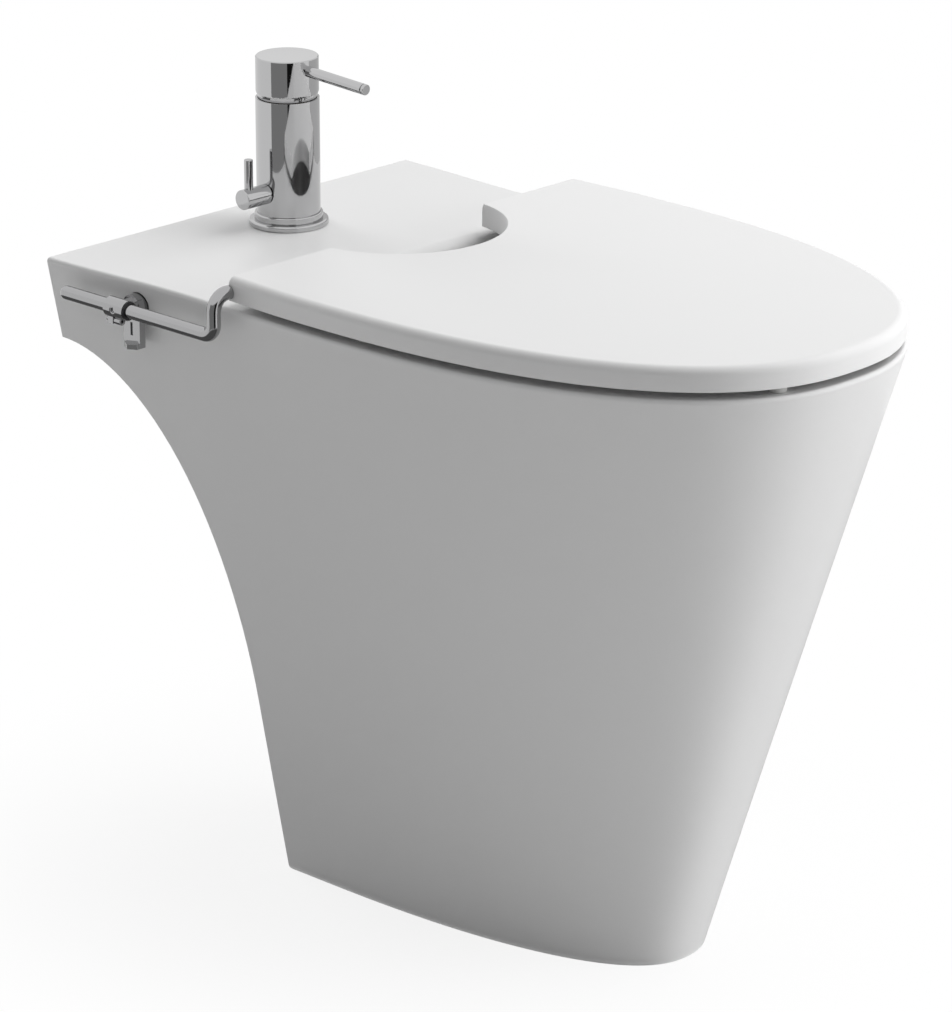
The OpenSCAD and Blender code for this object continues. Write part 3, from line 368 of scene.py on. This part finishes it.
def block_mesh(centre, size):
    """A box cutter."""
    x, y, z = centre
    a, b, c = (s / 2 for s in size)
    verts = [(x + i * a, y + j * b, z + k * c) for i in (-1, 1) for j in (-1, 1) for k in (-1, 1)]
    faces = [(0, 1, 3, 2), (4, 6, 7, 5), (0, 4, 5, 1), (2, 3, 7, 6), (0, 2, 6, 4), (1, 5, 7, 3)]
    return make_object("cutter", verts, faces, None)


def stand_for(obj, body, *nodes):
    """Puts a piece on its body in place of nodes of the part."""
    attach(obj, body)
    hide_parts(*nodes)


pan = build_pan()
stand_for(pan, "pan", "pan", "pan_bowl", "pan_bowl_floor", "pan_deck", "pan_rim_left", "pan_rim_right",
          "pan_rim_front")


# Lid

def bumper_places():
    """Right-hand bumper places: beside the bowl's rear corner and in front of the bowl."""
    return [((LID_HALF + BOWL_W / 2 + BOWL_EDGE) / 2, yw(WASTE_U - REAR_BUMPER_BACK)),
            (BOWL_W / 5, yw(BOWL_FRONT_U + FRONT_RIM / 2))]


def lid_ring(z, inset, notch_inset, n_notch=28, n_rear=6):
    """The lid's outline, set in by one amount, with its notch and rear face set in by another."""
    rear = LID_REAR_U + notch_inset
    half = outline(REAR_W / 2 - LID_INSET, LID_HALF, rear - inset, WIDEST_U, PAN_LEN - LID_INSET, WAIST,
                   inset, front_n=60, corner=max(LID_CORNER - notch_inset, LEAST_CORNER))
    r = NOTCH_R + notch_inset
    corner_x = math.sqrt(r * r - (rear - NOTCH_U) ** 2)
    start = math.atan2(rear - NOTCH_U, corner_x)
    arc = [(r * math.cos(mix(math.pi / 2, start, i / n_notch)),
            NOTCH_U + r * math.sin(mix(math.pi / 2, start, i / n_notch))) for i in range(n_notch + 1)]
    back = [(mix(corner_x, half[0][0], i / n_rear), rear) for i in range(1, n_rear)]
    ring = [(w, yw(u), z) for w, u in arc + back + half]
    return ring + [(-w, y, h) for w, y, h in reversed(ring[1:-1])]


def build_lid(edge_n=12, foot_bevel=((0, 1, 0.6), (0.3, 0.3, 0.2), (1, 0, 0))):
    """The lid: a hollow cover with hinge barrels, and bosses for its bumpers."""
    top = LID_Z + LID_T
    rings = [lid_ring(LID_Z + LID_FOOT_EDGE * rise, LID_FOOT_EDGE * share, notch_inset)
             for rise, share, notch_inset in foot_bevel]
    for i in range(edge_n + 1):
        a = math.radians(90 * i / edge_n)
        rings.append(lid_ring(top - LID_EDGE * (1 - math.sin(a)), LID_EDGE * (1 - math.cos(a)),
                              NOTCH_EDGE * (1 - math.cos(a))))
    lid = make_object("lid_shell", *loft(rings), None)
    roof = top - LID_TOP
    inner = LID_WALL + LID_ROOF_EDGE
    hollow = make_object("cutter", *loft([lid_ring(LID_CUT_Z, LID_WALL, LID_WALL),
                                          lid_ring(roof - LID_ROOF_EDGE, LID_WALL, LID_WALL),
                                          lid_ring(roof, inner, inner)]), None)
    side_x = pan_half(HINGE_U, DECK_H) - LID_INSET
    hinge = (0, yw(HINGE_U), HINGE_Z)
    keep, barrels, bores = [], [], []
    for side in (-1, 1):
        keep.append(block_mesh((side * (side_x - BARREL_LEN / 2 + BOSS_PAST / 2), yw(BOSS_U), BOSS_Z),
                               (BARREL_LEN + BOSS_PAST, BOSS_DEPTH, BOSS_HEIGHT)))
        barrel_ends = sorted((side * (side_x - BARREL_SIDE_GAP), side * (side_x - BARREL_LEN)))
        barrels.append(rod_cutter(BARREL_R, "x", *barrel_ends, hinge))
        bore_ends = sorted((side * ROD_X, side * (side_x - HINGE_PIN_LEN - PIN_END_GAP)))
        bores.append(rod_cutter(HINGE_PIN_R + RUN_GAP, "x", *bore_ends, hinge))
        for x, y in bumper_places():
            keep.append(rod_cutter(BUMPER_R - 1, "z", BUMPER_CUT_Z, top, (side * x, y, 0)))
            bores.append(rod_cutter(BUMPER_R - 3, "z", LID_CUT_Z, roof - BORE_ROOF, (side * x, y, 0)))
    carve(hollow, keep)
    carve(lid, [hollow])
    carve(lid, barrels, "UNION")
    carve(lid, bores)
    soften(lid, SHARP_ANGLE)
    weighted(lid)
    return lid


lid = build_lid()
stand_for(lid, "lid", "lid")


# Machined metal pieces

def machined(name, node, body, width, steps=3, merge=2e-6, flat=0.6):
    """A node's own shape with its sharp edges broken, as on the turned and cast pieces."""
    mesh = NODES[node].data.copy()
    bm = bmesh.new()
    bm.from_mesh(mesh)
    bmesh.ops.remove_doubles(bm, verts=bm.verts, dist=merge)
    bmesh.ops.dissolve_limit(bm, angle_limit=math.radians(flat), verts=bm.verts, edges=bm.edges)
    bmesh.ops.recalc_face_normals(bm, faces=bm.faces)
    bm.to_mesh(mesh)
    bm.free()
    obj = bpy.data.objects.new(name, mesh)
    bpy.context.scene.collection.objects.link(obj)
    bevel = obj.modifiers.new("edges", "BEVEL")
    bevel.width = width * MM
    bevel.segments = steps
    bevel.limit_method = "ANGLE"
    bevel.angle_limit = math.radians(SHARP_ANGLE)
    apply_modifiers(obj)
    soften(obj, SHARP_ANGLE_METAL)
    weighted(obj)
    stand_for(obj, body, node)
    return obj


# Width of the broken edges of each metal node, in mm, body by body
METAL = {
    "pan": {"hinge_bracket_left": 0.5, "hinge_bracket_right": 0.5, "bracket_rosettes": 0.5,
            "sleeve_set_screws": 0.15, "sleeve_clamp_screws": 0.2, "height_screws": 0.3,
            "mixer_flange": 0.3, "mixer_step_ring": 0.3, "mixer_body": 0.4, "bowl_inlet": 0.4,
            "waste_flange": 0.3},
    "cap": {"mixer_cap": 0.35, "lever_rod": 0.2, "lever_tip": 0.2},
    "diverter": {"diverter_knob": 0.25, "diverter_stick": 0.2},
    "plug": {"waste_plug": 0.3},
}
metal_pieces = [(machined(node + "_polished", node, body, width), node)
                for body, nodes in METAL.items() for node, width in nodes.items()]


# Materials

def material(name, colour, rough, metallic=0.0, coat=0.0, bump=None, vary=0.0, rough_vary=0.0,
             scale=400.0):
    """A procedural material: noise drives small changes of colour and roughness, and a fine bump."""
    mat = bpy.data.materials.new(name)
    mat.use_nodes = True
    nt = mat.node_tree
    shader = nt.nodes["Principled BSDF"]
    shader.inputs["Metallic"].default_value = metallic
    shader.inputs["Roughness"].default_value = rough
    shader.inputs["Coat Weight"].default_value = coat
    shader.inputs["Coat Roughness"].default_value = 0.03
    shader.inputs["Base Color"].default_value = (*colour, 1)
    coord = nt.nodes.new("ShaderNodeTexCoord")
    noise = nt.nodes.new("ShaderNodeTexNoise")
    noise.inputs["Scale"].default_value = scale
    noise.inputs["Detail"].default_value = 4
    nt.links.new(coord.outputs["Object"], noise.inputs["Vector"])
    if vary:
        ramp = nt.nodes.new("ShaderNodeMapRange")
        ramp.inputs["To Min"].default_value = 1 - vary
        ramp.inputs["To Max"].default_value = 1.0
        big = nt.nodes.new("ShaderNodeTexNoise")
        big.inputs["Scale"].default_value = scale / 40
        big.inputs["Detail"].default_value = 3
        nt.links.new(coord.outputs["Object"], big.inputs["Vector"])
        nt.links.new(big.outputs["Fac"], ramp.inputs["Value"])
        mul = nt.nodes.new("ShaderNodeVectorMath")
        mul.operation = "SCALE"
        mul.inputs[0].default_value = colour
        nt.links.new(ramp.outputs["Result"], mul.inputs["Scale"])
        nt.links.new(mul.outputs["Vector"], shader.inputs["Base Color"])
    if rough_vary:
        rr = nt.nodes.new("ShaderNodeMapRange")
        rr.inputs["To Min"].default_value = rough
        rr.inputs["To Max"].default_value = rough + rough_vary
        nt.links.new(noise.outputs["Fac"], rr.inputs["Value"])
        nt.links.new(rr.outputs["Result"], shader.inputs["Roughness"])
    if bump:
        b = nt.nodes.new("ShaderNodeBump")
        b.inputs["Strength"].default_value = bump[0]
        b.inputs["Distance"].default_value = bump[1]
        nt.links.new(noise.outputs["Fac"], b.inputs["Height"])
        nt.links.new(b.outputs["Normal"], shader.inputs["Normal"])
    return mat


MATERIALS = {
    "ceramic": material("glaze", (0.84, 0.84, 0.84), 0.34, coat=0.08, bump=(0.05, 0.0003),
                        vary=0.012, rough_vary=0.05, scale=160),
    "lid_plastic": material("lid_satin", (0.86, 0.86, 0.86), 0.4, coat=0.05, bump=(0.03, 0.0002),
                            vary=0.01, rough_vary=0.05, scale=260),
    "bumper_rubber": material("pale_rubber", (0.62, 0.62, 0.61), 0.6, bump=(0.2, 0.0002),
                              vary=0.05, scale=900),
    "chrome": material("chrome_plate", (0.51, 0.51, 0.515), 0.04, metallic=1.0,
                       rough_vary=0.02, vary=0.02, scale=300),
    # The two darker chromes below are painted shade: the mixer's plating darkened for the rods, brackets and
    # rosettes.
    "shaded_rod_chrome": material("shaded_rod_chrome", (0.41, 0.41, 0.415), 0.1, metallic=1.0,
                           rough_vary=0.04, vary=0.03, scale=300),
    "shaded_seat_chrome": material("shaded_seat_chrome", (0.24, 0.24, 0.243), 0.12, metallic=1.0,
                            rough_vary=0.04, vary=0.03, scale=300),
    "nylon": material("dark_nylon", (0.03, 0.03, 0.032), 0.45, bump=(0.15, 0.0002),
                      vary=0.1, scale=900),
    "steel": material("zinc_steel", (0.55, 0.56, 0.57), 0.32, metallic=1.0,
                      rough_vary=0.12, vary=0.08, scale=500),
    "rubber": material("black_rubber", (0.022, 0.022, 0.023), 0.65, bump=(0.3, 0.0003),
                       vary=0.15, scale=1100),
    "brass": material("turned_brass", (0.68, 0.5, 0.24), 0.26, metallic=1.0,
                      rough_vary=0.1, vary=0.06, scale=500),
    "trap_plastic": material("white_pp", (0.74, 0.74, 0.73), 0.4, bump=(0.1, 0.0002),
                             vary=0.02, rough_vary=0.08, scale=500),
}


def dress(obj, finish):
    """Gives an object one of the materials."""
    obj.data.materials.clear()
    obj.data.materials.append(MATERIALS[finish])


def finish_of(node):
    """The rods and brackets get a chrome a little darker than the mixer's, and the rosettes one darker still:
    painted shade on the same plating.
    """
    if node == "bracket_rosettes":
        return "shaded_seat_chrome"
    side_metal = SLOT_OF[node] == "chrome" and node.startswith(("hinge_", "bracket_", "sleeve_", "height_"))
    return "shaded_rod_chrome" if side_metal else SLOT_OF[node]


for name, obj in NODES.items():
    dress(obj, finish_of(name))
dress(pan, "ceramic")
dress(lid, "lid_plastic")
for piece, node in metal_pieces:
    dress(piece, finish_of(node))


# Floor, world, lights and camera

def stage_floor(half=12.0, fade_from=0.1, fade_to=0.42, glow_near=0.85):
    """A pale floor. Where it is seen or mirrored it glows white, but for some shadow near the pan."""
    mesh = bpy.data.meshes.new("floor")
    mesh.from_pydata([(-half, -half, 0), (half, -half, 0), (half, half, 0), (-half, half, 0)],
                     [], [(0, 1, 2, 3)])
    obj = bpy.data.objects.new("floor", mesh)
    bpy.context.scene.collection.objects.link(obj)
    mat = bpy.data.materials.new("pale_floor")
    mat.use_nodes = True
    nt = mat.node_tree
    shader = nt.nodes["Principled BSDF"]
    shader.inputs["Base Color"].default_value = (0.86, 0.86, 0.86, 1)
    shader.inputs["Roughness"].default_value = 0.7
    out = nt.nodes["Material Output"]
    glow = nt.nodes.new("ShaderNodeEmission")
    glow.inputs["Strength"].default_value = 1.0
    blend = nt.nodes.new("ShaderNodeMixShader")
    geo = nt.nodes.new("ShaderNodeNewGeometry")
    length = nt.nodes.new("ShaderNodeVectorMath")
    length.operation = "LENGTH"
    fade = nt.nodes.new("ShaderNodeMapRange")
    fade.interpolation_type = "SMOOTHSTEP"
    fade.inputs["From Min"].default_value = fade_from
    fade.inputs["From Max"].default_value = fade_to
    fade.inputs["To Min"].default_value = glow_near
    nt.links.new(geo.outputs["Position"], length.inputs[0])
    nt.links.new(length.outputs["Value"], fade.inputs["Value"])
    path = nt.nodes.new("ShaderNodeLightPath")
    seen = nt.nodes.new("ShaderNodeMath")
    seen.operation = "MAXIMUM"
    nt.links.new(path.outputs["Is Camera Ray"], seen.inputs[0])
    nt.links.new(path.outputs["Is Glossy Ray"], seen.inputs[1])
    both = nt.nodes.new("ShaderNodeMath")
    both.operation = "MULTIPLY"
    nt.links.new(fade.outputs["Result"], both.inputs[0])
    nt.links.new(seen.outputs["Value"], both.inputs[1])
    nt.links.new(both.outputs["Value"], blend.inputs["Fac"])
    nt.links.new(shader.outputs["BSDF"], blend.inputs[1])
    nt.links.new(glow.outputs["Emission"], blend.inputs[2])
    nt.links.new(blend.outputs["Shader"], out.inputs["Surface"])
    mesh.materials.append(mat)


def world_light(level):
    """White where it is seen or mirrored, and a plain level where it lights the object."""
    world = bpy.data.worlds.new("studio")
    bpy.context.scene.world = world
    world.use_nodes = True
    nt = world.node_tree
    bg = nt.nodes["Background"]
    bg.inputs["Color"].default_value = (1, 1, 1, 1)
    path = nt.nodes.new("ShaderNodeLightPath")
    a = nt.nodes.new("ShaderNodeMath")
    a.operation = "MAXIMUM"
    b = nt.nodes.new("ShaderNodeMath")
    b.operation = "MAXIMUM"
    nt.links.new(path.outputs["Is Camera Ray"], a.inputs[0])
    nt.links.new(path.outputs["Is Glossy Ray"], a.inputs[1])
    nt.links.new(a.outputs["Value"], b.inputs[0])
    nt.links.new(path.outputs["Is Transmission Ray"], b.inputs[1])
    strength = nt.nodes.new("ShaderNodeMapRange")
    strength.inputs["To Min"].default_value = level
    strength.inputs["To Max"].default_value = 1.0
    nt.links.new(b.outputs["Value"], strength.inputs["Value"])
    nt.links.new(strength.outputs["Result"], bg.inputs["Strength"])


def softbox(name, place, aim, size, watts):
    """A lamp at a place that points at another. The chrome mirrors the cards, not the lamps."""
    data = bpy.data.lights.new(name, "AREA")
    data.shape = "RECTANGLE"
    data.size, data.size_y = size
    data.energy = watts
    obj = bpy.data.objects.new(name, data)
    bpy.context.scene.collection.objects.link(obj)
    obj.visible_glossy = False
    obj.location = place
    obj.rotation_euler = (Vector(aim) - Vector(place)).to_track_quat("-Z", "Y").to_euler()


def grey_card(name, level):
    """A plain glowing material at one level."""
    mat = bpy.data.materials.new(name)
    mat.use_nodes = True
    nt = mat.node_tree
    glow = nt.nodes.new("ShaderNodeEmission")
    glow.inputs["Color"].default_value = (level, level, level, 1)
    nt.links.new(glow.outputs["Emission"], nt.nodes["Material Output"].inputs["Surface"])
    return mat


def glossy_only(obj):
    """Links a card to the scene so that it only shows in reflections."""
    bpy.context.scene.collection.objects.link(obj)
    for flag in ("camera", "diffuse", "transmission", "volume_scatter", "shadow"):
        setattr(obj, "visible_" + flag, False)


def floor_flag(radius, level, centre_y=0.1, height=0.003, n=48):
    """A dark disc on the floor, for the undersides of the metal pieces."""
    mesh = bpy.data.meshes.new("floor_flag")
    ring = [(radius * math.cos(math.tau * i / n), centre_y + radius * math.sin(math.tau * i / n), height)
            for i in range(n)]
    mesh.from_pydata(ring, [], [tuple(range(n))])
    mesh.materials.append(grey_card("floor_flag", level))
    glossy_only(bpy.data.objects.new("floor_flag", mesh))


def studio_cards(centre, radius, low, high, step=6):
    """Tall grey cards round the mixer, which only glossy surfaces see."""
    cx, cy = centre
    mesh = bpy.data.meshes.new("studio_cards")
    verts, faces, slots = [], [], []
    for k, (start, end, level) in enumerate(CARDS):
        mesh.materials.append(grey_card("card_%d" % k, level))
        steps = max(2, round((end - start) / step))
        for i in range(steps):
            a, b = (math.radians(mix(start, end, (i + half) / steps)) for half in (0, 1))
            n = len(verts)
            for ang, z in ((a, low), (b, low), (b, high), (a, high)):
                verts.append((cx + radius * math.cos(ang), cy + radius * math.sin(ang), z))
            faces.append((n, n + 1, n + 2, n + 3))
            slots.append(k)
    mesh.from_pydata(verts, [], faces)
    mesh.polygons.foreach_set("material_index", slots)
    glossy_only(bpy.data.objects.new("studio_cards", mesh))


# Start and end bearing round the mixer in degrees, and brightness, of each tall card
CARDS = [(-48, 45, 0.62), (45, 71, 0.8), (71, 166, 0.92), (166, 226, 0.28), (226, 249, 0.01),
         (249, 312, 1.0)]

stage_floor()
world_light(level=0.29)
studio_cards(centre=(0, 0.109), radius=0.95, low=0.005, high=0.78)
floor_flag(radius=0.9, level=0.12)
softbox("top_box", (1.1, -0.5, 2.3), aim=(0, -0.1, 0.4), size=(1.8, 1.8), watts=34)
softbox("front_box", (1.85, -2.2, 0.8), aim=(0, -0.1, 0.2), size=(1.2, 1.6), watts=36)
softbox("back_box", (0.3, 2.4, 1.3), aim=(0, -0.1, 0.45), size=(1.2, 0.9), watts=22)

# Place and lens solved from the photo's deck corners, lid corners and foot outline
cam_data = bpy.data.cameras.new("camera")
cam_data.sensor_fit = "HORIZONTAL"
cam_data.sensor_width = 36.0
cam_data.lens = 191.72
camera = bpy.data.objects.new("camera", cam_data)
camera.location = (-2.3077, -2.2971, 1.3965)
camera.rotation_euler = (math.radians(70.65), 0, math.radians(-46.0))
bpy.context.scene.collection.objects.link(camera)
bpy.context.scene.camera = camera
bpy.context.scene.view_settings.view_transform = "Standard"

bpy.context.view_layer.update()
